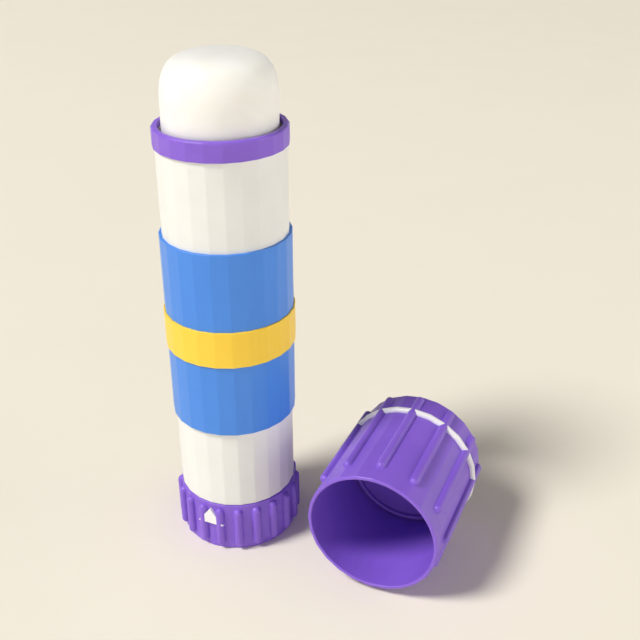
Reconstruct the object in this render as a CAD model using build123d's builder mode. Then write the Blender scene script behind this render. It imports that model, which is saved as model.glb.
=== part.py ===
from build123d import *
import math
import os

os.makedirs("parts", exist_ok=True)

# A glue stick standing on its knob, with its cap taken off and lying beside it
# Millimetres; the origin is on the stick's axis at the foot of the knob, +Z is up
# The radius of a faceted piece runs to its corners

# Counts
facet_count = 24
knob_rib_count = 20
cap_rib_count = 12
key_count = 3

# Barrel, whose wall is measured at the middle of a facet, with keys along its bore
barrel_r = 12.0
barrel_len = 72.9
barrel_wall_t = 0.75
key_w = 1.0
key_h = 0.4

# Foot of the barrel: a web, and a spigot with a snap bead below it
web_t = 1.5
spigot_t = 1.1
spigot_foot_gap = 3.3
bead_h = 0.25
bead_w = 0.9
bead_rise = 0.6

# Collar, with the neck of the barrel inside it
collar_step = 0.35
collar_h = 3.65
collar_lip_t = 1.15
collar_round = 0.5
collar_lip_round = 0.15
collar_fit = 0.05
neck_t = 0.5

# Label sleeve between two bare lengths of barrel, and the band round its middle
bare_below = 17.75
bare_above = 16.7
label_t = 0.58
band_h = 7.5
band_t = 0.32

# Knob, whose wall is measured at the middle of a facet
knob_step = 0.2
knob_h = 11.3
knob_wall_t = 1.25
knob_floor_t = 1.6
knob_round = 0.3
knob_rib_r = 0.95
knob_rib_foot = 1.0
knob_rib_drop = 0.9
hub_wall_t = 2.1
hub_gap = 0.9
turn_gap = 0.1
spigot_gap = 0.15
bead_gap = 0.2

# Direction mark, a triangular plate let into the knob's front, just wider than its two ribs
mark_edge_w = 0.07
mark_h = 3.75
mark_drop = 1.05
mark_proud = 0.65
mark_sink = 0.5

# Drive screw
core_r = 2.1
thread_h = 0.9
thread_lead = 5.0
thread_root_w = 2.4
thread_crest_w = 1.1
thread_bite = 0.3
thread_start = 1.5
thread_end = 1.5
tip_bevel = 0.6
journal_r = 2.4
journal_fit = 0.08
hex_step = 0.1
hex_foot_gap = 0.3
flange_w = 2.2
flange_t = 1.2
thrust_gap = 0.05

# Carrier cup, and the nut in its middle
cup_h = 8.0
cup_wall_t = 0.8
cup_floor_t = 1.4
cup_gap = 0.2
cup_foot_gap = 0.5
cup_end_gap = 0.35
key_gap = 0.2
nut_wall_t = 1.4
nut_drop = 1.0
nut_gap = 0.3
end_bite = 4.0

# Glue, whose dome has one curve, drawn by shares of its height and of its radius
glue_gap = 0.27
glue_fit = 0.05
glue_proud = 12.7
glue_recess = 2.2
glue_roof_gap = 1.0
glue_bore_gap = 0.6
dome_h = 8.75
dome_side_share = 0.82
dome_top_share = 0.80

# Cap beside the stick, lying on one of its ribs with its mouth towards -Y, a hair above the stick's foot
cap_aside = 7.4
cap_lie_gap = 0.25
cap_mouth_y = -11.4
cap_len = 30.3
cap_fit = 0.15
cap_wall_t = 0.7
cap_end_t = 1.4
cap_round = 0.3
cap_lip_round = 0.2
cap_rib_r = 0.94
cap_rib_start = 3.6
cap_rib_drop = 0.9

# Ring let into the cap
ring_r = 0.68
ring_sink = 0.02
ring_drop = 6.5

# Seal at the end of the cap
seal_fit = 0.1
seal_t = 1.2
seal_wall_t = 1.0
seal_bead_w = 0.8
seal_bead_h = 0.8
seal_bead_round = 0.3

# One overrun serves every cut
over = 1.0

# Radii, from the barrel inwards and outwards
flat_share = math.cos(math.pi / facet_count)
bore_r = barrel_r * flat_share - barrel_wall_t
neck_r = bore_r + neck_t
collar_r = barrel_r + collar_step
label_r = barrel_r + label_t
band_r = label_r + band_t
knob_r = barrel_r + knob_step
knob_bore_r = knob_r * flat_share - knob_wall_t
spigot_r = knob_bore_r - spigot_gap
spigot_bore_r = spigot_r - spigot_t
bead_r = spigot_r + bead_h
knob_rib_side = knob_r * math.sin(math.pi / knob_rib_count)
mark_half_w = knob_rib_side + knob_rib_r + mark_edge_w
crest_r = core_r + thread_h
hex_r = journal_r - hex_step
hub_r = hex_r + hub_wall_t
flange_r = journal_r + flange_w
nut_r = crest_r + nut_gap + nut_wall_t
cup_r = bore_r - cup_gap
cup_bore_r = cup_r - cup_wall_t
glue_r = bore_r - key_h - glue_gap
glue_bore_r = crest_r + glue_bore_gap
cap_bore_r = collar_r + cap_fit
cap_r = (cap_bore_r + cap_wall_t) / flat_share
seal_r = cap_bore_r - seal_fit
seal_bead_r = (bore_r + neck_r) / 2

# Levels up the stick
barrel_foot = knob_h + turn_gap
web_top = barrel_foot + web_t
collar_foot = barrel_foot + barrel_len
collar_top = collar_foot + collar_h
neck_len = collar_h - collar_lip_t
neck_top = collar_foot + neck_len
spigot_foot = knob_floor_t + spigot_foot_gap
spigot_len = barrel_foot - spigot_foot
bead_foot = spigot_foot + bead_rise
label_foot = barrel_foot + bare_below
label_h = barrel_len - bare_below - bare_above
band_foot = label_foot + (label_h - band_h) / 2
knob_rib_len = knob_h - knob_rib_foot - knob_rib_drop
mark_foot = knob_h - mark_drop - mark_h
hub_top = barrel_foot - hub_gap
hex_foot = knob_floor_t + hex_foot_gap
flange_foot = web_top + thrust_gap
flange_top = flange_foot + flange_t

# Carrier, as it stands in the photograph, with the travel below it and above it
lower_travel = glue_proud + glue_recess
cup_foot = flange_top + cup_foot_gap + lower_travel
cup_floor = cup_foot + cup_floor_t
cup_top = cup_foot + cup_h
nut_top = cup_top - nut_drop
upper_travel = collar_foot - cup_end_gap - cup_top
glue_top = collar_top + glue_proud
dome_foot = glue_top - dome_h

# Screw, which still holds the nut by one bite when the carrier is at its upper end
screw_tip = cup_foot + upper_travel + end_bite
thread_foot = flange_top + thread_start
thread_turns = (screw_tip - thread_end - thread_foot) / thread_lead
glue_bore_top = screw_tip + lower_travel + glue_roof_gap

# Cap, along its own axis from the mouth, with its bead where the collar comes to
cap_x = knob_r + knob_rib_r + cap_aside + cap_r + cap_rib_r
cap_axis_z = cap_r + cap_rib_r + cap_lie_gap
cap_rib_len = cap_len - cap_rib_start - cap_rib_drop
cap_depth = cap_len - cap_end_t
seal_place = bare_above + collar_h + seal_bead_h
ring_place = cap_len - ring_drop
ring_path_r = cap_r + cap_rib_r - ring_r - ring_sink
cap_plane = Plane(origin=(cap_x, cap_mouth_y, cap_axis_z), x_dir=(0, 0, 1), z_dir=(0, 1, 0))

print(f"Carrier travel: {lower_travel:.3f} down, {upper_travel:.3f} up")


def rib_form(radius, length):
    """One rib, round at both ends, standing on the origin."""
    with BuildPart() as form:
        with BuildSketch(Plane.XZ):
            with BuildLine():
                Line((0, 0), (0, length))
                CenterArc((0, length - radius), radius, 0, 90)
                Line((radius, length - radius), (radius, radius))
                CenterArc((0, radius), radius, -90, 90)
            make_face()
        revolve(axis=Axis.Z)
    return form.part


def thread_form(foot, turns, gap):
    """A right-hand helical ridge, grown by the gap where it belongs to a tap."""
    root = core_r - thread_bite
    crest = crest_r + gap
    half_root = thread_root_w / 2 + gap
    half_crest = thread_crest_w / 2 + gap
    with BuildPart() as form:
        with BuildLine() as path:
            Helix(pitch=thread_lead, height=turns * thread_lead, radius=core_r, center=(0, 0, foot))
        with BuildSketch(Plane.XZ):
            Polygon(
                (root, foot - half_root),
                (crest, foot - half_crest),
                (crest, foot + half_crest),
                (root, foot + half_root),
                align=None,
            )
        sweep(path=path.line, is_frenet=True)
    return form.part


def save(piece, name):
    """Label a finished piece and write it under its own name."""
    piece.part.label = name
    export_step(piece.part, f"parts/{name}.step")


# Body tube: a faceted barrel with a round bore, keyed along its length
with BuildPart() as body_tube:
    with BuildSketch(Plane.XY.offset(barrel_foot)):
        RegularPolygon(radius=barrel_r, side_count=facet_count)
    extrude(amount=barrel_len)
    with BuildSketch(Plane.XY.offset(collar_foot)):
        Circle(neck_r)
    extrude(amount=neck_len)
    with BuildSketch(Plane.XY.offset(spigot_foot)):
        Circle(spigot_r)
    extrude(amount=spigot_len)
    # Snap bead round the spigot
    with BuildSketch(Plane.XZ):
        with BuildLine():
            Polyline(
                (spigot_bore_r, bead_foot),
                (spigot_r, bead_foot),
                (bead_r, bead_foot + bead_w / 2),
                (spigot_r, bead_foot + bead_w),
                (spigot_bore_r, bead_foot + bead_w),
                close=True,
            )
        make_face()
    revolve(axis=Axis.Z)
    with BuildSketch(Plane.XY.offset(web_top)):
        Circle(bore_r)
    extrude(amount=neck_top - web_top + over, mode=Mode.SUBTRACT)
    with BuildSketch(Plane.XY.offset(spigot_foot - over)):
        Circle(spigot_bore_r)
    extrude(amount=spigot_len + over, mode=Mode.SUBTRACT)
    with BuildSketch(Plane.XY.offset(barrel_foot - over)):
        Circle(journal_r + journal_fit)
    extrude(amount=web_t + 2 * over, mode=Mode.SUBTRACT)
    # Keys that keep the carrier from turning, half sunk in the wall
    with BuildSketch(Plane.XY.offset(web_top)):
        with PolarLocations(bore_r, key_count):
            Rectangle(2 * key_h, key_w)
    extrude(amount=collar_foot - web_top)

# Neck collar: a faceted ring, pushed on the neck and turned in over its end
with BuildPart() as neck_collar:
    with BuildSketch(Plane.XY.offset(collar_foot)):
        RegularPolygon(radius=collar_r, side_count=facet_count)
    extrude(amount=collar_h)
    fillet(neck_collar.faces().sort_by(Axis.Z)[-1].edges(), radius=collar_round)
    with BuildSketch(Plane.XY.offset(collar_foot - over)):
        Circle(bore_r)
    extrude(amount=collar_h + 2 * over, mode=Mode.SUBTRACT)
    fillet(neck_collar.edges().filter_by(GeomType.CIRCLE).sort_by(Axis.Z)[-1], radius=collar_lip_round)
    with BuildSketch(Plane.XY.offset(collar_foot - over)):
        Circle(neck_r + collar_fit)
    extrude(amount=neck_len + collar_fit + over, mode=Mode.SUBTRACT)

# Label sleeve, tight round the barrel
with BuildPart() as label_sleeve:
    with BuildSketch(Plane.XY.offset(label_foot)):
        RegularPolygon(radius=label_r, side_count=facet_count)
        RegularPolygon(radius=barrel_r, side_count=facet_count, mode=Mode.SUBTRACT)
    extrude(amount=label_h)

# Band, tight round the label sleeve
with BuildPart() as label_band:
    with BuildSketch(Plane.XY.offset(band_foot)):
        RegularPolygon(radius=band_r, side_count=facet_count)
        RegularPolygon(radius=label_r, side_count=facet_count, mode=Mode.SUBTRACT)
    extrude(amount=band_h)

# Grip ribs of the knob, one of them on each side of the mark
knob_rib = rib_form(knob_rib_r, knob_rib_len)
with BuildPart(Plane.XY.offset(knob_rib_foot)) as knob_ribs:
    with PolarLocations(knob_r, knob_rib_count, start_angle=180 / knob_rib_count - 90):
        add(knob_rib)

# What the ribs have outside the core of the mark
with BuildPart() as ribs_over_mark:
    add(knob_ribs.part)
    split(bisect_by=Plane.XZ.offset(knob_r), keep=Keep.TOP)

# Direction mark: two ribs cross its face, and its core runs on under them
with BuildPart() as direction_arrow:
    with BuildSketch(Plane.XZ.offset(knob_r + mark_proud)):
        Polygon(
            (-mark_half_w, mark_foot),
            (mark_half_w, mark_foot),
            (0, mark_foot + mark_h),
            align=None,
        )
    extrude(amount=-mark_proud - mark_sink)
    add(ribs_over_mark.part, mode=Mode.SUBTRACT)

# Knob: a ribbed cup round the spigot, with a hub for the foot of the screw
with BuildPart() as base_knob:
    with BuildSketch():
        RegularPolygon(radius=knob_r, side_count=facet_count)
    extrude(amount=knob_h)
    fillet(base_knob.faces().filter_by(Axis.Z).edges(), radius=knob_round)
    add(knob_ribs.part)
    with BuildSketch(Plane.XZ):
        with BuildLine():
            Polyline(
                (0, hub_top),
                (hub_r, hub_top),
                (hub_r, knob_floor_t),
                (knob_bore_r, knob_floor_t),
                (knob_bore_r, knob_h + over),
                (0, knob_h + over),
                close=True,
            )
        make_face()
    revolve(axis=Axis.Z, mode=Mode.SUBTRACT)
    # Groove for the snap bead
    with BuildSketch(Plane.XZ):
        Polygon(
            (spigot_r, bead_foot - bead_gap),
            (bead_r + bead_gap, bead_foot + bead_w / 2),
            (spigot_r, bead_foot + bead_w + bead_gap),
            align=None,
        )
    revolve(axis=Axis.Z, mode=Mode.SUBTRACT)
    with BuildSketch(Plane.XY.offset(knob_floor_t)):
        RegularPolygon(radius=hex_r, side_count=6)
    extrude(amount=hub_top - knob_floor_t + over, mode=Mode.SUBTRACT)
    add(direction_arrow.part, mode=Mode.SUBTRACT)

# Drive screw: hexagon in the knob's hub, journal in the web, flange above it, then the thread
with BuildPart() as drive_screw:
    with BuildSketch(Plane.XY.offset(hex_foot)):
        RegularPolygon(radius=hex_r, side_count=6)
    extrude(amount=hub_top - hex_foot)
    with BuildSketch(Plane.XY.offset(hub_top)):
        Circle(journal_r)
    extrude(amount=flange_foot - hub_top)
    with BuildSketch(Plane.XY.offset(flange_foot)):
        Circle(flange_r)
    extrude(amount=flange_t)
    with BuildSketch(Plane.XY.offset(flange_top)):
        Circle(core_r)
    extrude(amount=screw_tip - flange_top)
    chamfer(drive_screw.faces().sort_by(Axis.Z)[-1].edges(), length=tip_bevel)
    add(thread_form(thread_foot, thread_turns, 0))

# Tap: the screw grown by its clearance, over the height of the carrier
tap_drop = math.ceil((thread_foot - cup_foot + over) / thread_lead)
tap_foot = thread_foot - tap_drop * thread_lead
tap_turns = math.ceil((cup_top + over - tap_foot) / thread_lead)
with BuildPart() as nut_tap:
    with BuildSketch(Plane.XY.offset(tap_foot - thread_lead)):
        Circle(core_r + nut_gap)
    extrude(amount=(tap_turns + 2) * thread_lead)
    add(thread_form(tap_foot, tap_turns, nut_gap))

# Carrier cup: holds the foot of the glue, and climbs the screw by the nut in its middle
with BuildPart() as carrier_cup:
    with BuildSketch(Plane.XZ):
        with BuildLine():
            Polyline(
                (0, cup_foot),
                (cup_r, cup_foot),
                (cup_r, cup_top),
                (cup_bore_r, cup_top),
                (cup_bore_r, cup_floor),
                (nut_r, cup_floor),
                (nut_r, nut_top),
                (0, nut_top),
                close=True,
            )
        make_face()
    revolve(axis=Axis.Z)
    # Keyways for the keys of the barrel
    with BuildSketch(Plane.XY.offset(cup_foot - over)):
        with PolarLocations(bore_r, key_count):
            Rectangle(2 * key_h + 2 * key_gap, key_w + 2 * key_gap)
    extrude(amount=cup_h + 2 * over, mode=Mode.SUBTRACT)
    add(nut_tap.part, mode=Mode.SUBTRACT)

# Glue: cast in the cup and round the nut, with a bore for the screw and a domed end
with BuildPart() as glue_stick:
    with BuildSketch(Plane.XZ):
        with BuildLine():
            Polyline(
                (glue_bore_r, nut_top),
                (nut_r + glue_fit, nut_top),
                (nut_r + glue_fit, cup_floor),
                (cup_bore_r - glue_fit, cup_floor),
                (cup_bore_r - glue_fit, cup_top),
                (glue_r, cup_top),
                (glue_r, dome_foot),
            )
            Bezier(
                (glue_r, dome_foot),
                (glue_r, dome_foot + dome_side_share * dome_h),
                (dome_top_share * glue_r, glue_top),
                (0, glue_top),
            )
            Polyline(
                (0, glue_top),
                (0, glue_bore_top),
                (glue_bore_r, glue_bore_top),
                (glue_bore_r, nut_top),
            )
        make_face()
    revolve(axis=Axis.Z)

# Grip ribs of the cap
cap_rib = rib_form(cap_rib_r, cap_rib_len)
with BuildPart(cap_plane.offset(cap_rib_start)) as cap_ribs:
    with PolarLocations(cap_r, cap_rib_count):
        add(cap_rib)

# What the cap's ribs have outside the core of its ring
with BuildPart() as ribs_over_ring:
    add(cap_ribs.part)
    with BuildSketch(cap_plane):
        Circle(cap_r)
    extrude(amount=cap_len, mode=Mode.SUBTRACT)

# Cap ring: a round bar along the facets, whose core runs on under the ribs
facet_turn = 2 * math.pi / facet_count
ring_corners = [
    (ring_path_r * math.cos(k * facet_turn), ring_path_r * math.sin(k * facet_turn))
    for k in range(facet_count)
]
side_middle = tuple((first + last) / 2 for first, last in zip(ring_corners[0], ring_corners[-1]))
with BuildPart() as cap_ring:
    with BuildLine(cap_plane.offset(ring_place)) as ring_path:
        Polyline(side_middle, *ring_corners, side_middle)
    with BuildSketch(Plane(origin=ring_path.line @ 0, z_dir=ring_path.line % 0)):
        Circle(ring_r)
    sweep(path=ring_path.line, transition=Transition.RIGHT)
    add(ribs_over_ring.part, mode=Mode.SUBTRACT)

# Cap: a ribbed cup with a round bore
with BuildPart() as cap_shell:
    with BuildSketch(cap_plane):
        RegularPolygon(radius=cap_r, side_count=facet_count)
    extrude(amount=cap_len)
    fillet(cap_shell.faces().filter_by(Axis.Y).edges(), radius=cap_round)
    add(cap_ribs.part)
    with BuildSketch(cap_plane.offset(-over)):
        Circle(cap_bore_r)
    extrude(amount=cap_depth + over, mode=Mode.SUBTRACT)
    fillet(cap_shell.edges().filter_by(GeomType.CIRCLE).sort_by(Axis.Y)[0], radius=cap_lip_round)
    add(cap_ring.part, mode=Mode.SUBTRACT)

# Cap seal: a disc on a skirt, with a bead that presses on the collar when the cap is on
with BuildPart() as cap_seal:
    with BuildSketch(cap_plane.offset(seal_place)):
        Circle(seal_r)
    extrude(amount=cap_depth - seal_place)
    with BuildSketch(cap_plane.offset(seal_place + seal_t)):
        Circle(seal_r - seal_wall_t)
    extrude(amount=cap_depth - seal_place - seal_t, mode=Mode.SUBTRACT)
    with BuildSketch(cap_plane.offset(seal_place - seal_bead_h)):
        Circle(seal_bead_r + seal_bead_w / 2)
        Circle(seal_bead_r - seal_bead_w / 2, mode=Mode.SUBTRACT)
    extrude(amount=seal_bead_h)
    fillet(cap_seal.faces().sort_by(Axis.Y)[0].edges(), radius=seal_bead_round)

save(body_tube, "body_tube")
save(neck_collar, "neck_collar")
save(label_sleeve, "label_sleeve")
save(label_band, "label_band")
save(base_knob, "base_knob")
save(direction_arrow, "direction_arrow")
save(drive_screw, "drive_screw")
save(carrier_cup, "carrier_cup")
save(glue_stick, "glue_stick")
save(cap_shell, "cap_shell")
save(cap_ring, "cap_ring")
save(cap_seal, "cap_seal")
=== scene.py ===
import bpy
import bmesh
import math
from mathutils import Matrix, Vector, noise


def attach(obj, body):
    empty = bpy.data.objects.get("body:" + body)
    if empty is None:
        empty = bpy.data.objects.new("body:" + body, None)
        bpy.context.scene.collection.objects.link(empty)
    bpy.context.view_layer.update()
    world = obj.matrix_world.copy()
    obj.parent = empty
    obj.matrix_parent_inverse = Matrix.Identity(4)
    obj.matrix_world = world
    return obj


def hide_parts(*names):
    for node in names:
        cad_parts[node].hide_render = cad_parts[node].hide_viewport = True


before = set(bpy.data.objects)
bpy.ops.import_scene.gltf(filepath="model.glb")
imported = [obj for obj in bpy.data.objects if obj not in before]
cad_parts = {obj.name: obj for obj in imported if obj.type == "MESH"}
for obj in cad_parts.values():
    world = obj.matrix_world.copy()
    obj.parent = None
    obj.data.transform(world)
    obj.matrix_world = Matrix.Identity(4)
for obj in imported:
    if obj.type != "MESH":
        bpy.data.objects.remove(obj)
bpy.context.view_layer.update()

# Sizes are in millimetres, as in the part's source, and the meshes are made in metres
MM = 0.001

# Facets of barrel, label, band, collar, knob and cap; a radius runs to their corners, which are rounded
FACETS = 24
CORNER_SOFT = 1.6
EDGE_SOFT = 0.12

# Where a faceted wall needs its mesh corners, as shares of half a rounding and of half a facet
ROUNDING_SHARES = (-1.0, -0.5, 0.0, 0.5, 1.0)
FLAT_SHARES = (0.4, 1.0, 1.6)

# Steps along a rounded edge, the angle from which an edge stays sharp, and the pull of the large faces
# on the shading of their neighbours
EDGE_STEPS = 5
SHARP_ANGLE = math.radians(34)
FLAT_WEIGHT = 60

# Barrel with its neck, keyed bore, web and spigot
BARREL_R = 12.0
BARREL_FOOT = 11.4
BORE_R = 11.147
NECK_R = 11.647
WEB_TOP = 12.9
WEB_HOLE_R = 2.48
SPIGOT_R = 10.69
SPIGOT_BORE_R = 9.59
SPIGOT_FOOT = 4.9
BEAD_FOOT = 5.5
BEAD_H = 0.25
BEAD_W = 0.9
KEYS = 3
KEY_W = 1.0
KEY_H = 0.4

# Collar
COLLAR_R = 12.35
COLLAR_FOOT = 84.3
COLLAR_TOP = 87.95
COLLAR_ROUND = 0.5
COLLAR_ROUND_STEPS = 8
COLLAR_LIP_ROUND = 0.15
COLLAR_FIT = 0.05
NECK_TOP = 86.8

# Blue label and yellow band
LABEL_R = 12.58
LABEL_FOOT = 29.15
LABEL_TOP = 67.6
BAND_R = 12.9
BAND_FOOT = 44.625
BAND_TOP = 52.125
FILM_EDGE = 0.14
FILM_FIT = 0.01

# Knob with its ribs, its hub and the groove for the spigot's bead
KNOB_R = 12.2
KNOB_TOP = 11.3
KNOB_ROUND = 0.3
KNOB_BORE_R = 10.84
KNOB_FLOOR = 1.6
KNOB_RIBS = 20
KNOB_RIB_FIRST = math.radians(9)
KNOB_RIB_R = 0.95
KNOB_RIB_FOOT = 1.0
KNOB_RIB_TOP = 10.4
KNOB_RIB_STEPS = 4
HUB_R = 4.4
HUB_TOP = 10.5
HEX_SIDES = 6
HEX_R = 2.3
HEX_SOFT = 0.05
GROOVE_R = 11.14
GROOVE_FOOT = 5.3
GROOVE_TOP = 6.6

# Triangular mark on the knob
MARK_HALF_W = 2.93
MARK_FOOT = 6.5
MARK_TOP = 10.25
MARK_FRONT = 12.85
MARK_BACK = 11.7
MARK_SOFT = 0.12
MARK_SOFT_STEPS = 3

# Glue, with the hollow for the carrier and the screw in its foot
GLUE_R = 10.477
GLUE_FOOT = 30.95
GLUE_CUP_R = 10.1
GLUE_CUP_TOP = 37.55
GLUE_NUT_R = 4.75
GLUE_NUT_TOP = 36.55
GLUE_BORE_R = 3.6
GLUE_BORE_TOP = 95.85
GLUE_TOP = 100.65
GLUE_TURNS = 144
GLUE_STEPS = 30

# The glue's dome leans that far towards an azimuth, and its curve leaves the side and reaches the top at
# these shares of the dome's height and of the glue's radius
DOME_H = 8.75
DOME_SIDE_SHARE = 0.82
DOME_TOP_SHARE = 0.80
DOME_STEPS = 40
DOME_LEAN = 0.24
DOME_LEAN_SIDE = math.radians(23.4)

# Casting waves of the glue: their depth, the glue's radius counted in waves, their length along it, and
# the radius below which they fade out
GLUE_WAVE = 0.05
GLUE_WAVE_RADIUS = 1.6
GLUE_WAVE_LEN = 6
GLUE_WAVE_FADE_R = 3

# Cap, lying on its side, with its ring and its seal; their heights run along its axis from the mouth
CAP_X = 34.804
CAP_MOUTH_Y = -11.4
CAP_AXIS_Z = 14.504
CAP_R = 13.314
CAP_LEN = 30.3
CAP_DEPTH = 28.9
CAP_BORE_R = 12.5
CAP_ROUND = 0.3
CAP_LIP_ROUND = 0.2
CAP_RIBS = 12
CAP_RIB_R = 0.94
CAP_RIB_FOOT = 3.6
CAP_RIB_TOP = 29.4
CAP_RIB_STEPS = 10
RING_R = 0.68
RING_PATH_R = 13.554
RING_PLACE = 23.8
RING_STEPS = 24
SEAL_PLACE = 21.15
SEAL_R = 12.4
SEAL_T = 1.2
SEAL_WALL_T = 1.0
SEAL_BEAD_R = 11.397
SEAL_BEAD_W = 0.8
SEAL_BEAD_H = 0.8
SEAL_BEAD_ROUND = 0.3
SEAL_TURNS = 96

# A rib's root runs into the wall in a small fillet, from a flank of this slope
RIB_FILLET = 0.12
RIB_FLANK = 9.0

# Mesh corners of a rib: their steps in degrees across it and over its round ends, more of them in its
# root at shares of its radius, the wall's own ones kept clear of those, and two rows past either end
RIB_TURN_STEP = 10
RIB_END_STEP = 9
RIB_ROOT_SHARES = (1.03, 1.08, 1.18, 1.35)
RIB_CLEAR_SHARE = 1.4375
RIB_END_NEAR = 0.1
RIB_END_FAR = 0.3

# The noise's values lie nearly all between these two
NOISE_LOW = 0.3
NOISE_HIGH = 0.7

# Room light: its strength near the horizon and overhead, the heights (sines) between which it fades,
# its share on the dim side and on the bright side, which lies towards this azimuth, and its tint
WALL_LIGHT = 1.2
CEILING_LIGHT = 0.16
BRIGHT_SIDE = math.radians(-25)
DIM_SHARE = 0.4
BRIGHT_SHARE = 1.5
WALL_LIGHT_FROM = 0.16
WALL_LIGHT_TO = 0.42
ROOM_TINT = (1.0, 0.98, 0.95, 1.0)

# Colour of the backdrop, the floor's half width and the distances over which it fades into the backdrop,
# in metres from the stick
BACKDROP = "#F2E8D5"
FLOOR_HALF = 3.0
FADE_FROM = 0.5
FADE_TO = 1.5

# The point that the lamps face and the camera's place, in metres; its tilt and turn are in degrees, and
# its lens and sensor in millimetres
LAMP_TARGET = (0.012, 0, 0.04)
CAMERA_PLACE = (0.07875, -0.13749, 0.13237)
CAMERA_TILT = 61.87
CAMERA_TURN = 23.4
CAMERA_LENS = 50.73
CAMERA_SENSOR = 36.0
CAMERA_NEAR = 0.005

TAU = 2 * math.pi


def upright(point):
    """A point of the stick, in metres."""
    return Vector(point) * MM


def lying(point):
    """A point of the cap, given along its own axis from the mouth, in metres."""
    up, across, along = point
    return Vector((CAP_X + across, CAP_MOUTH_Y + along, CAP_AXIS_Z + up)) * MM


def corner_wall(corner, sides=FACETS, soft=CORNER_SOFT):
    """A prism's wall: its distance from the axis at each turn, with rounded corners."""
    half = math.pi / sides
    centre = corner - soft / math.cos(half)
    leaves = math.atan2(soft * math.sin(half), centre + soft * math.cos(half))

    def radius(turn, height):
        off = abs((turn + half) % (2 * half) - half)
        if off < leaves:
            return centre * math.cos(off) + math.sqrt(soft**2 - (centre * math.sin(off)) ** 2)
        return corner * math.cos(half) / math.cos(half - off)

    return radius


def round_wall(size):
    """A round wall."""
    return lambda turn, height: size


def hex_wall(corner):
    """The wall of the hexagon that drives the screw."""
    return corner_wall(corner, sides=HEX_SIDES, soft=HEX_SOFT)


def ribbed_wall(corner, crest_from, rib_r, ribs, first, foot, top):
    """A faceted wall with round-ended grip ribs, each filleted at its root."""
    wall = corner_wall(corner)
    spacing = TAU / ribs

    def radius(turn, height):
        off = abs((turn - first + spacing / 2) % spacing - spacing / 2)
        past = max(foot + rib_r - height, height - top + rib_r, 0)
        reach = math.hypot(crest_from * math.sin(off), past)
        if reach < rib_r:
            rib = crest_from * math.cos(off) + math.sqrt(rib_r**2 - reach**2)
        else:
            rib = crest_from - RIB_FLANK * (reach - rib_r)
        flat = wall(turn, height)
        return (flat + rib + math.hypot(flat - rib, RIB_FILLET)) / 2

    return radius


def arc(wall, centre_r, centre_h, size, first, last, steps=EDGE_STEPS):
    """Stations along a rounded edge, between two angles given in degrees."""
    stations = []
    for k in range(steps + 1):
        a = math.radians(first + (last - first) * k / steps)
        stations.append((wall(centre_r + size * math.cos(a)), centre_h + size * math.sin(a)))
    return stations


def facet_turns():
    """Where a faceted wall needs its mesh corners: over each rounding and across each flat."""
    half = math.pi / FACETS
    reach = CORNER_SOFT * math.sin(half) / BARREL_R
    turns = []
    for k in range(FACETS):
        middle = 2 * half * k
        turns += [middle + reach * share for share in ROUNDING_SHARES]
        turns += [middle + half * share for share in FLAT_SHARES]
    return turns


def rib_turns(ribs, first, rib_r, crest_from):
    """The turns of a faceted wall with closer ones over each rib and its root."""
    shares = [math.sin(math.radians(a)) for a in range(-90, 91, RIB_TURN_STEP)]
    shares += [side * share for side in (-1, 1) for share in RIB_ROOT_SHARES]
    wanted = [first + TAU * k / ribs + share * rib_r / crest_from for k in range(ribs) for share in shares]
    clear = RIB_CLEAR_SHARE * rib_r / crest_from
    spacing = TAU / ribs
    for turn in facet_turns():
        off = abs((turn - first + spacing / 2) % spacing - spacing / 2)
        if off > clear:
            wanted.append(turn)
    return sorted(turn % TAU for turn in wanted)


def rib_heights(foot, top, rib_r, between):
    """Heights along a ribbed wall: close over the round ends of the ribs, wide between."""
    ends = [rib_r * (1 - math.cos(math.radians(a))) for a in range(0, 91, RIB_END_STEP)]
    low = [foot - RIB_END_FAR, foot - RIB_END_NEAR] + [foot + e for e in ends]
    high = [top - e for e in reversed(ends)] + [top + RIB_END_NEAR, top + RIB_END_FAR]
    middle = [low[-1] + (high[0] - low[-1]) * k / between for k in range(1, between)]
    return low + middle + high


def turned(name, stations, turns, closed, place=upright):
    """A mesh from stations, each a wall and a height: a closed ring of them, or a row with a flat end at
    its first and its last."""
    build = bmesh.new()
    rings = []
    for wall, height in stations:
        ring = []
        for turn in turns:
            r = wall(turn, height)
            ring.append(build.verts.new(place((r * math.cos(turn), r * math.sin(turn), height))))
        rings.append(ring)
    pairs = list(zip(rings, rings[1:]))
    if closed:
        pairs.append((rings[-1], rings[0]))
    count = len(turns)
    for low, high in pairs:
        for k in range(count):
            n = (k + 1) % count
            build.faces.new((low[k], low[n], high[n], high[k]))
    if not closed:
        ends = ((rings[0], stations[0][1], True), (rings[-1], stations[-1][1], False))
        for ring, height, flip in ends:
            middle = build.verts.new(place((0, 0, height)))
            for k in range(count):
                n = (k + 1) % count
                build.faces.new((middle, ring[n], ring[k]) if flip else (middle, ring[k], ring[n]))
    bmesh.ops.recalc_face_normals(build, faces=build.faces[:])
    mesh = bpy.data.meshes.new(name)
    build.to_mesh(mesh)
    build.free()
    return mesh


def piece(name, mesh, material, slot, body, *nodes):
    """One finished piece, smooth but for its sharp edges, on its body and in place of its nodes."""
    mesh.polygons.foreach_set("use_smooth", [True] * len(mesh.polygons))
    mesh.set_sharp_from_angle(angle=SHARP_ANGLE)
    mesh.materials.append(material)
    made = bpy.data.objects.new(name, mesh)
    bpy.context.scene.collection.objects.link(made)
    level = made.modifiers.new("flat facets", "WEIGHTED_NORMAL")
    level.keep_sharp = True
    level.weight = FLAT_WEIGHT
    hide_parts(*nodes)
    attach(made, body)


def colour(code):
    """An sRGB hex value as a linear colour."""
    parts = [int(code[k:k + 2], 16) / 255 for k in (1, 3, 5)]
    linear = [c / 12.92 if c <= 0.04045 else ((c + 0.055) / 1.055) ** 2.4 for c in parts]
    return (*linear, 1.0)


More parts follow.
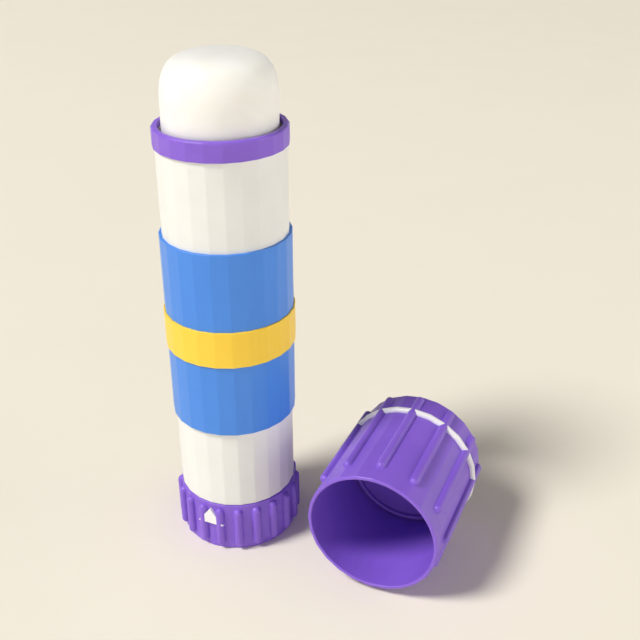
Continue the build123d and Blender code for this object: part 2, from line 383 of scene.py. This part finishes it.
def node(tree, kind, sockets=None, **settings):
    """Add a node with its settings; a socket's value is a number, a colour or another node's output."""
    made = tree.nodes.new(kind)
    for key, value in settings.items():
        setattr(made, key, value)
    for key, value in (sockets or {}).items():
        if isinstance(value, bpy.types.NodeSocket):
            tree.links.new(value, made.inputs[key])
        else:
            made.inputs[key].default_value = value
    return made


def grain(tree, size_mm, detail=2.0, stretch=(1, 1, 1)):
    """Noise whose grains are that many millimetres across, fixed to the piece."""
    coords = node(tree, "ShaderNodeTexCoord")
    scaled = node(tree, "ShaderNodeMapping", {"Vector": coords.outputs["Object"], "Scale": stretch})
    made = node(tree, "ShaderNodeTexNoise",
                {"Vector": scaled.outputs["Vector"], "Scale": 1 / (size_mm * MM), "Detail": detail})
    return made.outputs["Fac"]


def spread(tree, value, low, high):
    """A pattern spread over a range of values."""
    made = node(tree, "ShaderNodeMapRange", {"Value": value, "From Min": NOISE_LOW, "From Max": NOISE_HIGH,
                                             "To Min": low, "To Max": high})
    return made.outputs["Result"]


def blend_of(tree, share, first, second):
    """Two colours mixed by a pattern, through the mix node's colour sockets."""
    made = node(tree, "ShaderNodeMix", {0: share, 6: first, 7: second}, data_type="RGBA")
    return made.outputs[2]


def start_material(name):
    """An empty material: its node tree and its shader, joined to the output."""
    material = bpy.data.materials.new(name)
    material.use_nodes = True
    tree = material.node_tree
    tree.nodes.clear()
    shader = node(tree, "ShaderNodeBsdfPrincipled")
    node(tree, "ShaderNodeOutputMaterial", {"Surface": shader.outputs["BSDF"]})
    return material, tree, shader


def relief(tree, height, depth_mm, normal=None):
    """Bump of that depth."""
    sockets = {"Height": height, "Distance": depth_mm * MM, "Strength": 1.0}
    if normal:
        sockets["Normal"] = normal
    return node(tree, "ShaderNodeBump", sockets).outputs["Normal"]


def moulded(name, main, deep, depth_mm, rough_low, rough_high):
    """Moulded polypropylene: an even colour with soft clouds in it, shallow sink marks, and the mould's
    fine spark-eroded finish, which breaks the light into a satin. The real grain is 0.05 mm wide and is
    drawn at 0.3 mm, so that it shows."""
    material, tree, shader = start_material(name)
    clouds = spread(tree, grain(tree, size_mm=7.0, detail=3.0), 0.0, 1.0)
    tree.links.new(blend_of(tree, clouds, colour(main), colour(deep)), shader.inputs["Base Color"])
    fine = grain(tree, size_mm=0.3, detail=3.0)
    patches = grain(tree, size_mm=3.0)
    tree.links.new(spread(tree, patches, rough_low, rough_high), shader.inputs["Roughness"])
    sink = relief(tree, grain(tree, size_mm=5.0, detail=1.0), depth_mm * 3)
    tree.links.new(relief(tree, fine, depth_mm, sink), shader.inputs["Normal"])
    shader.inputs["IOR"].default_value = 1.49
    return material


def purple_moulding():
    """Purple polypropylene, satin from the mould."""
    return moulded("purple moulding", "#8961D5", "#825BCF", depth_mm=0.006, rough_low=0.34, rough_high=0.44)


def white_moulding():
    """White polypropylene of the barrel: even, clean and a little glossier than the purple."""
    return moulded("white moulding", "#ECECE9", "#E8E8E5", depth_mm=0.003, rough_low=0.33, rough_high=0.40)


def natural_moulding():
    """Unpigmented polypropylene of screw and carrier: milky, and soft under light."""
    material = moulded("natural moulding", "#DEDDD6", "#D2D1C8",
                       depth_mm=0.004, rough_low=0.30, rough_high=0.42)
    shader = material.node_tree.nodes["Principled BSDF"]
    shader.inputs["Subsurface Weight"].default_value = 0.3
    shader.inputs["Subsurface Radius"].default_value = (1.0, 0.95, 0.9)
    shader.inputs["Subsurface Scale"].default_value = 0.8 * MM
    return material


def label_film(name, main, deep):
    """Shrunk label film: smooth and glossier than the mouldings, with the faint lengthwise streaks of its
    drawing and shallow waves where it bridges the plastic. The real streaks are 0.1 mm wide and are drawn
    at 0.5 mm."""
    material, tree, shader = start_material(name)
    streaks = grain(tree, size_mm=0.5, stretch=(1, 1, 0.04))
    clouds = grain(tree, size_mm=9.0)
    both = node(tree, "ShaderNodeMath", {0: streaks, 1: clouds}, operation="ADD")
    half = node(tree, "ShaderNodeMath", {0: both.outputs[0], 1: 0.5}, operation="MULTIPLY")
    share = spread(tree, half.outputs[0], 0.0, 1.0)
    tree.links.new(blend_of(tree, share, colour(main), colour(deep)), shader.inputs["Base Color"])
    tree.links.new(spread(tree, streaks, 0.32, 0.38), shader.inputs["Roughness"])
    ripple = grain(tree, size_mm=2.5, detail=1.0, stretch=(1, 1, 0.35))
    waves = relief(tree, ripple, depth_mm=0.012)
    tree.links.new(relief(tree, streaks, depth_mm=0.002, normal=waves), shader.inputs["Normal"])
    shader.inputs["IOR"].default_value = 1.52
    return material


def mark_inlay():
    """White polystyrene of the mark and the ring: clean, even and a little shiny."""
    return moulded("white inlay", "#F2F0F1", "#EEEBED", depth_mm=0.002, rough_low=0.32, rough_high=0.38)


def liner_painted_shade():
    """Softer purple plastic of the cap's seal, more matt than the shell; its purple is painted darker than
    the shell's, as painted shade inside the cap.
    """
    return moulded("liner with painted shade", "#7A54BE", "#744EB8", depth_mm=0.004, rough_low=0.42, rough_high=0.52)


def glue_mass():
    """Solid glue: waxy and milky, cast smooth, with shallow flow marks round it and a soft gloss."""
    material, tree, shader = start_material("glue mass")
    clouds = spread(tree, grain(tree, size_mm=4.0, detail=3.0), 0.0, 1.0)
    shade = blend_of(tree, clouds, colour("#F5F4EF"), colour("#F1F0EA"))
    tree.links.new(shade, shader.inputs["Base Color"])
    flow = grain(tree, size_mm=1.6, stretch=(0.35, 0.35, 1))
    pores = grain(tree, size_mm=0.5)
    tree.links.new(spread(tree, pores, 0.36, 0.50), shader.inputs["Roughness"])
    marks = relief(tree, flow, depth_mm=0.02)
    tree.links.new(relief(tree, pores, depth_mm=0.005, normal=marks), shader.inputs["Normal"])
    shader.inputs["IOR"].default_value = 1.45
    shader.inputs["Subsurface Weight"].default_value = 0.35
    shader.inputs["Subsurface Radius"].default_value = (1.0, 0.9, 0.75)
    shader.inputs["Subsurface Scale"].default_value = 2.5 * MM
    return material


def pale_board():
    """Cream board under the stick, matt with a faint tooth. Far off it is seen as the plain backdrop."""
    material, tree, shader = start_material("pale board")
    clouds = spread(tree, grain(tree, size_mm=30.0, detail=3.0), 0.0, 1.0)
    shade = blend_of(tree, clouds, colour("#F6EFE0"), colour("#F5EEDE"))
    tree.links.new(shade, shader.inputs["Base Color"])
    tooth = relief(tree, grain(tree, size_mm=0.6), depth_mm=0.003)
    tree.links.new(tooth, shader.inputs["Normal"])
    shader.inputs["Roughness"].default_value = 0.85
    shader.inputs["Specular IOR Level"].default_value = 0.2
    place = node(tree, "ShaderNodeNewGeometry")
    away = node(tree, "ShaderNodeVectorMath", {0: place.outputs["Position"]}, operation="LENGTH")
    fade = node(tree, "ShaderNodeMapRange",
                {"Value": away.outputs["Value"], "From Min": FADE_FROM, "From Max": FADE_TO},
                interpolation_type="SMOOTHSTEP")
    rays = node(tree, "ShaderNodeLightPath")
    share = node(tree, "ShaderNodeMath", {0: fade.outputs[0], 1: rays.outputs["Is Camera Ray"]},
                 operation="MULTIPLY")
    plain = node(tree, "ShaderNodeEmission", {"Color": colour(BACKDROP), "Strength": 1.0})
    seen = node(tree, "ShaderNodeMixShader",
                {0: share.outputs[0], 1: shader.outputs[0], 2: plain.outputs[0]})
    tree.links.new(seen.outputs[0], tree.nodes["Material Output"].inputs["Surface"])
    return material


def make_barrel(material):
    """White barrel with its keyed bore, its web and the spigot that goes into the knob."""
    e = EDGE_SOFT
    stations = arc(corner_wall, BARREL_R - e, BARREL_FOOT + e, e, -90, 0)
    stations += arc(corner_wall, BARREL_R - e, COLLAR_FOOT - e, e, 0, 90)
    for r, height in (
        (NECK_R, COLLAR_FOOT), (NECK_R, NECK_TOP), (BORE_R, NECK_TOP), (BORE_R, WEB_TOP),
        (WEB_HOLE_R, WEB_TOP), (WEB_HOLE_R, BARREL_FOOT), (SPIGOT_BORE_R, BARREL_FOOT),
        (SPIGOT_BORE_R, SPIGOT_FOOT), (SPIGOT_R, SPIGOT_FOOT), (SPIGOT_R, BEAD_FOOT),
        (SPIGOT_R + BEAD_H, BEAD_FOOT + BEAD_W / 2), (SPIGOT_R, BEAD_FOOT + BEAD_W),
        (SPIGOT_R, BARREL_FOOT),
    ):
        stations.append((round_wall(r), height))
    mesh = turned("barrel", stations, facet_turns(), True)
    build = bmesh.new()
    build.from_mesh(mesh)
    for k in range(KEYS):
        add_key(build, TAU * k / KEYS)
    build.to_mesh(mesh)
    build.free()
    piece("barrel", mesh, material, "white_barrel", "tube", "body_tube")


def add_key(build, turn):
    """One key along the bore, its back sunk in the wall."""
    spin = Matrix.Rotation(turn, 3, "Z")
    outline = [(BORE_R + KEY_H / 2, -KEY_W / 2), (BORE_R + KEY_H / 2, KEY_W / 2),
               (BORE_R - KEY_H, KEY_W / 2), (BORE_R - KEY_H, -KEY_W / 2)]
    low, high = [[build.verts.new(upright(spin @ Vector((x, y, z)))) for x, y in outline]
                 for z in (WEB_TOP - EDGE_SOFT, COLLAR_FOOT)]
    build.faces.new(low)
    build.faces.new(list(reversed(high)))
    for k in range(len(outline)):
        n = (k + 1) % len(outline)
        build.faces.new((low[n], low[k], high[k], high[n]))


def make_collar(material):
    """Purple collar pushed on the neck and turned in over its end."""
    e = EDGE_SOFT
    seat = NECK_R + COLLAR_FIT
    stations = arc(corner_wall, COLLAR_R - e, COLLAR_FOOT + e, e, -90, 0)
    crown = COLLAR_ROUND
    stations += arc(corner_wall, COLLAR_R - crown, COLLAR_TOP - crown, crown, 0, 90, COLLAR_ROUND_STEPS)
    lip = COLLAR_LIP_ROUND
    stations += arc(round_wall, BORE_R + lip, COLLAR_TOP - lip, lip, 90, 180)
    for r, height in ((BORE_R, NECK_TOP + COLLAR_FIT), (seat, NECK_TOP + COLLAR_FIT), (seat, COLLAR_FOOT)):
        stations.append((round_wall(r), height))
    mesh = turned("collar", stations, facet_turns(), True)
    piece("collar", mesh, material, "purple_moulding", "tube", "neck_collar")


def make_sleeve(name, inner, outer, foot, top, material, slot, node_name):
    """A film sleeve, tight round the facets below it."""
    e = FILM_EDGE
    stations = arc(corner_wall, outer - e, foot + e, e, -90, 0)
    stations += arc(corner_wall, outer - e, top - e, e, 0, 90)
    stations += [(corner_wall(inner + FILM_FIT), top), (corner_wall(inner + FILM_FIT), foot)]
    mesh = turned(name, stations, facet_turns(), True)
    piece(name, mesh, material, slot, "tube", node_name)


def make_knob(material):
    """Purple knob: ribbed outside, with a bore for the spigot and a hub for the screw's hexagon."""
    grip = ribbed_wall(KNOB_R, KNOB_R, KNOB_RIB_R, KNOB_RIBS, KNOB_RIB_FIRST, KNOB_RIB_FOOT, KNOB_RIB_TOP)
    e = KNOB_ROUND
    stations = arc(corner_wall, KNOB_R - e, e, e, -90, 0)
    for height in rib_heights(KNOB_RIB_FOOT, KNOB_RIB_TOP, KNOB_RIB_R, KNOB_RIB_STEPS):
        stations.append((grip, height))
    stations += arc(corner_wall, KNOB_R - e, KNOB_TOP - e, e, 0, 90)
    for r, height in (
        (KNOB_BORE_R, KNOB_TOP), (KNOB_BORE_R, GROOVE_TOP), (GROOVE_R, (GROOVE_FOOT + GROOVE_TOP) / 2),
        (KNOB_BORE_R, GROOVE_FOOT), (KNOB_BORE_R, KNOB_FLOOR), (HUB_R, KNOB_FLOOR), (HUB_R, HUB_TOP),
    ):
        stations.append((round_wall(r), height))
    stations += [(hex_wall(HEX_R), HUB_TOP), (hex_wall(HEX_R), KNOB_FLOOR)]
    turns = rib_turns(KNOB_RIBS, KNOB_RIB_FIRST, KNOB_RIB_R, KNOB_R)
    mesh = turned("knob", stations, turns, False)
    piece("knob", mesh, material, "purple_moulding", "knob", "base_knob")


def make_mark(material):
    """White triangular plate let into the knob, which two of the ribs cross."""
    build = bmesh.new()
    outline = [(-MARK_HALF_W, MARK_FOOT), (MARK_HALF_W, MARK_FOOT), (0, MARK_TOP)]
    front, back = [[build.verts.new(upright((x, -depth, z))) for x, z in outline]
                   for depth in (MARK_FRONT, MARK_BACK)]
    build.faces.new(front)
    build.faces.new(list(reversed(back)))
    for k in range(len(outline)):
        n = (k + 1) % len(outline)
        build.faces.new((front[n], front[k], back[k], back[n]))
    bmesh.ops.recalc_face_normals(build, faces=build.faces[:])
    bmesh.ops.bevel(build, geom=build.edges[:], offset=MARK_SOFT * MM, segments=MARK_SOFT_STEPS,
                    profile=0.5, affect="EDGES", clamp_overlap=True)
    mesh = bpy.data.meshes.new("mark")
    build.to_mesh(mesh)
    build.free()
    piece("mark", mesh, material, "white_mark", "knob", "direction_arrow")


def dome_points(steps):
    """The glue's dome from its foot to its top, as radius and height."""
    foot = GLUE_TOP - DOME_H
    curve = [(GLUE_R, foot), (GLUE_R, foot + DOME_SIDE_SHARE * DOME_H),
             (DOME_TOP_SHARE * GLUE_R, GLUE_TOP), (0, GLUE_TOP)]
    points = []
    for k in range(steps + 1):
        t = k / steps
        weights = ((1 - t) ** 3, 3 * t * (1 - t) ** 2, 3 * t * t * (1 - t), t**3)
        points.append(tuple(sum(w * p[n] for w, p in zip(weights, curve)) for n in (0, 1)))
    return points


def glue_wall(size):
    """A wall that is round but for the shallow waves of a casting, which fade out near the axis."""

    def radius(turn, height):
        x, y = math.cos(turn) * GLUE_WAVE_RADIUS, math.sin(turn) * GLUE_WAVE_RADIUS
        wave = noise.noise(Vector((x, y, height / GLUE_WAVE_LEN)))
        return size + GLUE_WAVE * min(size / GLUE_WAVE_FADE_R, 1) * wave

    return radius


def make_glue(material):
    """Glue standing out of the collar, its dome leaning a little to one side."""
    stations = []
    for r, height in (
        (GLUE_BORE_R, GLUE_BORE_TOP), (GLUE_BORE_R, GLUE_NUT_TOP), (GLUE_NUT_R, GLUE_NUT_TOP),
        (GLUE_NUT_R, GLUE_FOOT), (GLUE_CUP_R, GLUE_FOOT), (GLUE_CUP_R, GLUE_CUP_TOP),
    ):
        stations.append((round_wall(r), height))
    side = GLUE_TOP - DOME_H - GLUE_CUP_TOP
    for k in range(GLUE_STEPS):
        stations.append((glue_wall(GLUE_R), GLUE_CUP_TOP + side * k / GLUE_STEPS))
    stations += [(glue_wall(r), height) for r, height in dome_points(DOME_STEPS)[:-1]]
    turns = [TAU * k / GLUE_TURNS for k in range(GLUE_TURNS)]
    mesh = turned("glue", stations, turns, False)
    lean = Vector((math.cos(DOME_LEAN_SIDE), math.sin(DOME_LEAN_SIDE), 0)) * DOME_LEAN * MM
    for vert in mesh.vertices:
        over = max(vert.co.z / MM - COLLAR_TOP, 0) / (GLUE_TOP - COLLAR_TOP)
        vert.co += lean * over
    piece("glue", mesh, material, "white_glue", "carrier", "glue_stick")


def make_cap(material):
    """Purple cap lying on one of its ribs, its mouth towards the front."""
    grip = ribbed_wall(CAP_R, CAP_R, CAP_RIB_R, CAP_RIBS, 0, CAP_RIB_FOOT, CAP_RIB_TOP)
    e = CAP_ROUND
    lip = CAP_LIP_ROUND
    stations = [(round_wall(CAP_BORE_R), CAP_DEPTH)]
    stations += arc(round_wall, CAP_BORE_R + lip, lip, lip, 180, 270)
    stations += arc(corner_wall, CAP_R - e, e, e, -90, 0)
    for height in rib_heights(CAP_RIB_FOOT, CAP_RIB_TOP, CAP_RIB_R, CAP_RIB_STEPS):
        stations.append((grip, height))
    stations += arc(corner_wall, CAP_R - e, CAP_LEN - e, e, 0, 90)
    mesh = turned("cap", stations, rib_turns(CAP_RIBS, 0, CAP_RIB_R, CAP_R), False, lying)
    piece("cap", mesh, material, "purple_moulding", "cap", "cap_shell")


def make_ring(material):
    """White bar let in round the cap, along its facets."""
    stations = []
    for k in range(RING_STEPS):
        a = TAU * k / RING_STEPS
        wall = corner_wall(RING_PATH_R + RING_R * math.cos(a))
        stations.append((wall, RING_PLACE + RING_R * math.sin(a)))
    mesh = turned("ring", stations, facet_turns(), True, lying)
    piece("ring", mesh, material, "white_mark", "cap", "cap_ring")


def make_seal(material):
    """Seal at the end of the cap: a disc on a skirt, with the bead that meets the collar."""
    inner, outer = SEAL_BEAD_R - SEAL_BEAD_W / 2, SEAL_BEAD_R + SEAL_BEAD_W / 2
    round_off = SEAL_BEAD_ROUND
    crown = SEAL_PLACE - SEAL_BEAD_H + round_off
    stations = [(round_wall(inner), SEAL_PLACE)]
    stations += arc(round_wall, inner + round_off, crown, round_off, 180, 270)
    stations += arc(round_wall, outer - round_off, crown, round_off, -90, 0)
    for r, height in ((outer, SEAL_PLACE), (SEAL_R, SEAL_PLACE), (SEAL_R, CAP_DEPTH),
                      (SEAL_R - SEAL_WALL_T, CAP_DEPTH), (SEAL_R - SEAL_WALL_T, SEAL_PLACE + SEAL_T)):
        stations.append((round_wall(r), height))
    turns = [TAU * k / SEAL_TURNS for k in range(SEAL_TURNS)]
    mesh = turned("seal", stations, turns, False, lying)
    piece("seal", mesh, material, "cap_liner", "cap", "cap_seal")


def make_floor(material):
    """Plain floor, flat under the stick and wide enough to fill every view."""
    build = bmesh.new()
    bmesh.ops.create_grid(build, x_segments=1, y_segments=1, size=FLOOR_HALF)
    mesh = bpy.data.meshes.new("floor")
    build.to_mesh(mesh)
    build.free()
    mesh.materials.append(material)
    floor = bpy.data.objects.new("floor", mesh)
    bpy.context.scene.collection.objects.link(floor)


def lamp(name, azimuth, elevation, distance, size, power, tint):
    """A soft round lamp that faces the stick, placed by its direction in degrees; metres and watts."""
    data = bpy.data.lights.new(name, "AREA")
    data.shape = "DISK"
    data.size = size
    data.energy = power
    data.color = tint
    made = bpy.data.objects.new(name, data)
    turn, rise = math.radians(azimuth), math.radians(elevation)
    away = Vector((math.cos(turn) * math.cos(rise), math.sin(turn) * math.cos(rise), math.sin(rise)))
    made.location = Vector(LAMP_TARGET) + away * distance
    made.rotation_euler = away.to_track_quat("Z", "Y").to_euler()
    bpy.context.scene.collection.objects.link(made)


def make_room():
    """Light from all round, stronger near the horizon and on one side, and a plain backdrop for the eye."""
    world = bpy.data.worlds.new("room")
    bpy.context.scene.world = world
    world.use_nodes = True
    tree = world.node_tree
    tree.nodes.clear()
    way = node(tree, "ShaderNodeTexCoord")
    height = node(tree, "ShaderNodeSeparateXYZ", {0: way.outputs["Generated"]})
    strength = node(tree, "ShaderNodeMapRange",
                    {"Value": height.outputs["Z"], "From Min": WALL_LIGHT_FROM, "From Max": WALL_LIGHT_TO,
                     "To Min": WALL_LIGHT, "To Max": CEILING_LIGHT},
                    interpolation_type="SMOOTHSTEP")
    side = node(tree, "ShaderNodeVectorMath",
                {0: way.outputs["Generated"], 1: (math.cos(BRIGHT_SIDE), math.sin(BRIGHT_SIDE), 0)},
                operation="DOT_PRODUCT")
    share = node(tree, "ShaderNodeMapRange",
                 {"Value": side.outputs["Value"], "From Min": -1.0, "From Max": 1.0,
                  "To Min": DIM_SHARE, "To Max": BRIGHT_SHARE})
    both = node(tree, "ShaderNodeMath", {0: strength.outputs[0], 1: share.outputs[0]}, operation="MULTIPLY")
    light = node(tree, "ShaderNodeBackground", {"Color": ROOM_TINT, "Strength": both.outputs[0]})
    backdrop = node(tree, "ShaderNodeBackground", {"Color": colour(BACKDROP), "Strength": 1.0})
    rays = node(tree, "ShaderNodeLightPath")
    seen = node(tree, "ShaderNodeMixShader",
                {0: rays.outputs["Is Camera Ray"], 1: light.outputs[0], 2: backdrop.outputs[0]})
    node(tree, "ShaderNodeOutputWorld", {"Surface": seen.outputs[0]})


def make_camera():
    """The camera at the photograph's place and angle."""
    data = bpy.data.cameras.new("camera")
    data.sensor_width = CAMERA_SENSOR
    data.lens = CAMERA_LENS
    data.clip_start = CAMERA_NEAR
    made = bpy.data.objects.new("camera", data)
    made.location = CAMERA_PLACE
    made.rotation_euler = (math.radians(CAMERA_TILT), 0, math.radians(CAMERA_TURN))
    bpy.context.scene.collection.objects.link(made)
    bpy.context.scene.camera = made


make_camera()
purple = purple_moulding()
inlay = mark_inlay()
natural = natural_moulding()
make_barrel(white_moulding())
make_collar(purple)
make_sleeve("label", BARREL_R, LABEL_R, LABEL_FOOT, LABEL_TOP,
            label_film("blue film", "#478BE6", "#4486E0"), "blue_label", "label_sleeve")
make_sleeve("band", LABEL_R, BAND_R, BAND_FOOT, BAND_TOP,
            label_film("yellow film", "#FCD342", "#F8CE3D"), "yellow_band", "label_band")
make_knob(purple)
make_mark(inlay)
make_glue(glue_mass())
make_cap(purple)
make_ring(inlay)
# The seal's purple is darker than the shell's: painted shade inside the cap
make_seal(liner_painted_shade())

# The screw and the carrier keep their solids and get the milky plastic
for name in ("drive_screw", "carrier_cup"):
    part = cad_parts[name]
    part.data.materials.clear()
    part.data.materials.append(natural)

make_floor(pale_board())
make_room()
lamp("key", azimuth=225, elevation=51, distance=6.0, size=1.8, power=326.0, tint=(1.0, 0.985, 0.96))
lamp("fill", azimuth=20, elevation=14, distance=2.0, size=1.6, power=8.0, tint=(1.0, 0.985, 0.97))
bpy.context.scene.view_settings.view_transform = "Standard"
